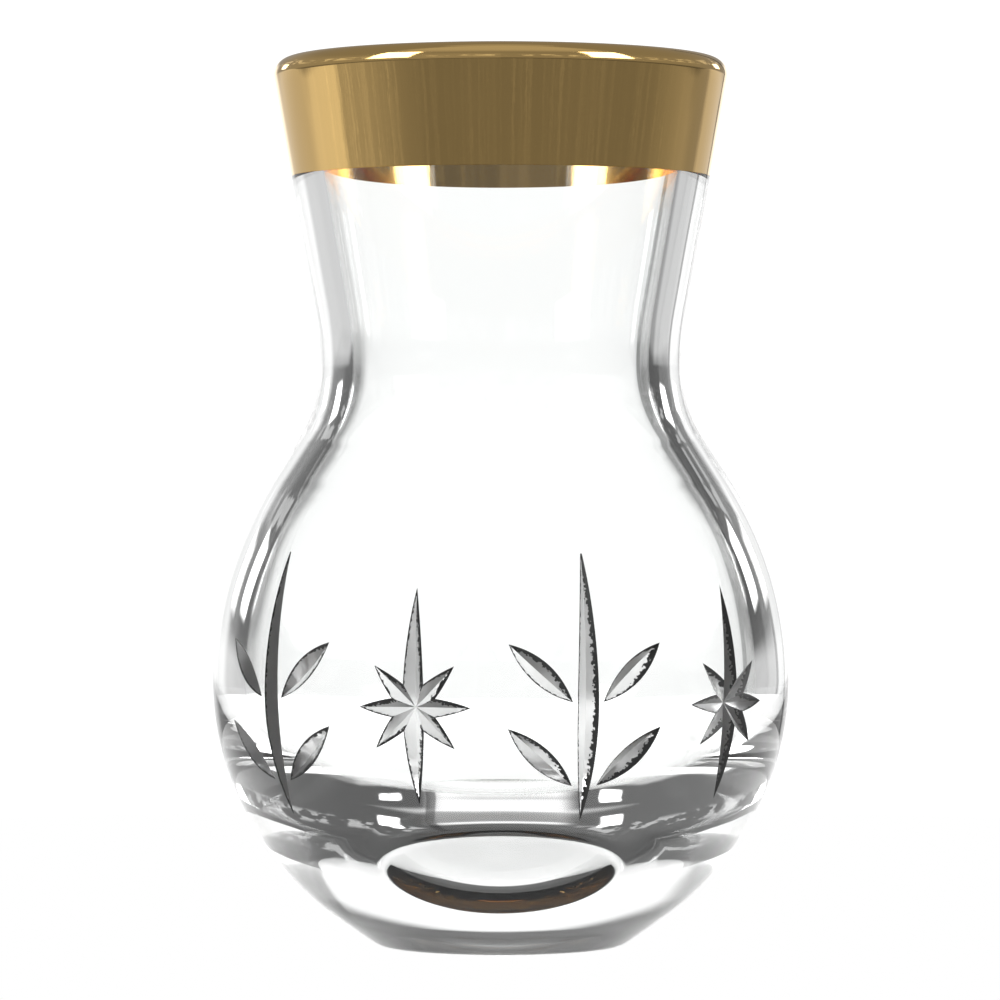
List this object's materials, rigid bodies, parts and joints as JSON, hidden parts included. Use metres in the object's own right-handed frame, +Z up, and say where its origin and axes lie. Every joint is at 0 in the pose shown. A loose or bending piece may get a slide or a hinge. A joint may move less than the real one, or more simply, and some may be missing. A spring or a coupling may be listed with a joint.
{
  "type": "vase",
  "caption": "Small thick-walled crystal posy vase: round belly, narrow flared neck, gilded rim band, and a wheel-cut frieze of leaf sprays and stars on the front.",
  "frame": {"origin": "centre of the flat base, on the surface the vase stands on", "axes": "+Z up along the axis the vase was turned about, -Y towards the front of the cut frieze, +X to its right"},
  "size_m": [0.078, 0.078, 0.12],
  "materials": {
    "crystal": "clear, fire-polished, with finely ground cuts",
    "gold": "polished burnished gold"
  },
  "bodies": {
    "root": {"glass_body": "crystal", "gold_band": "gold"}
  },
  "joints": []
}
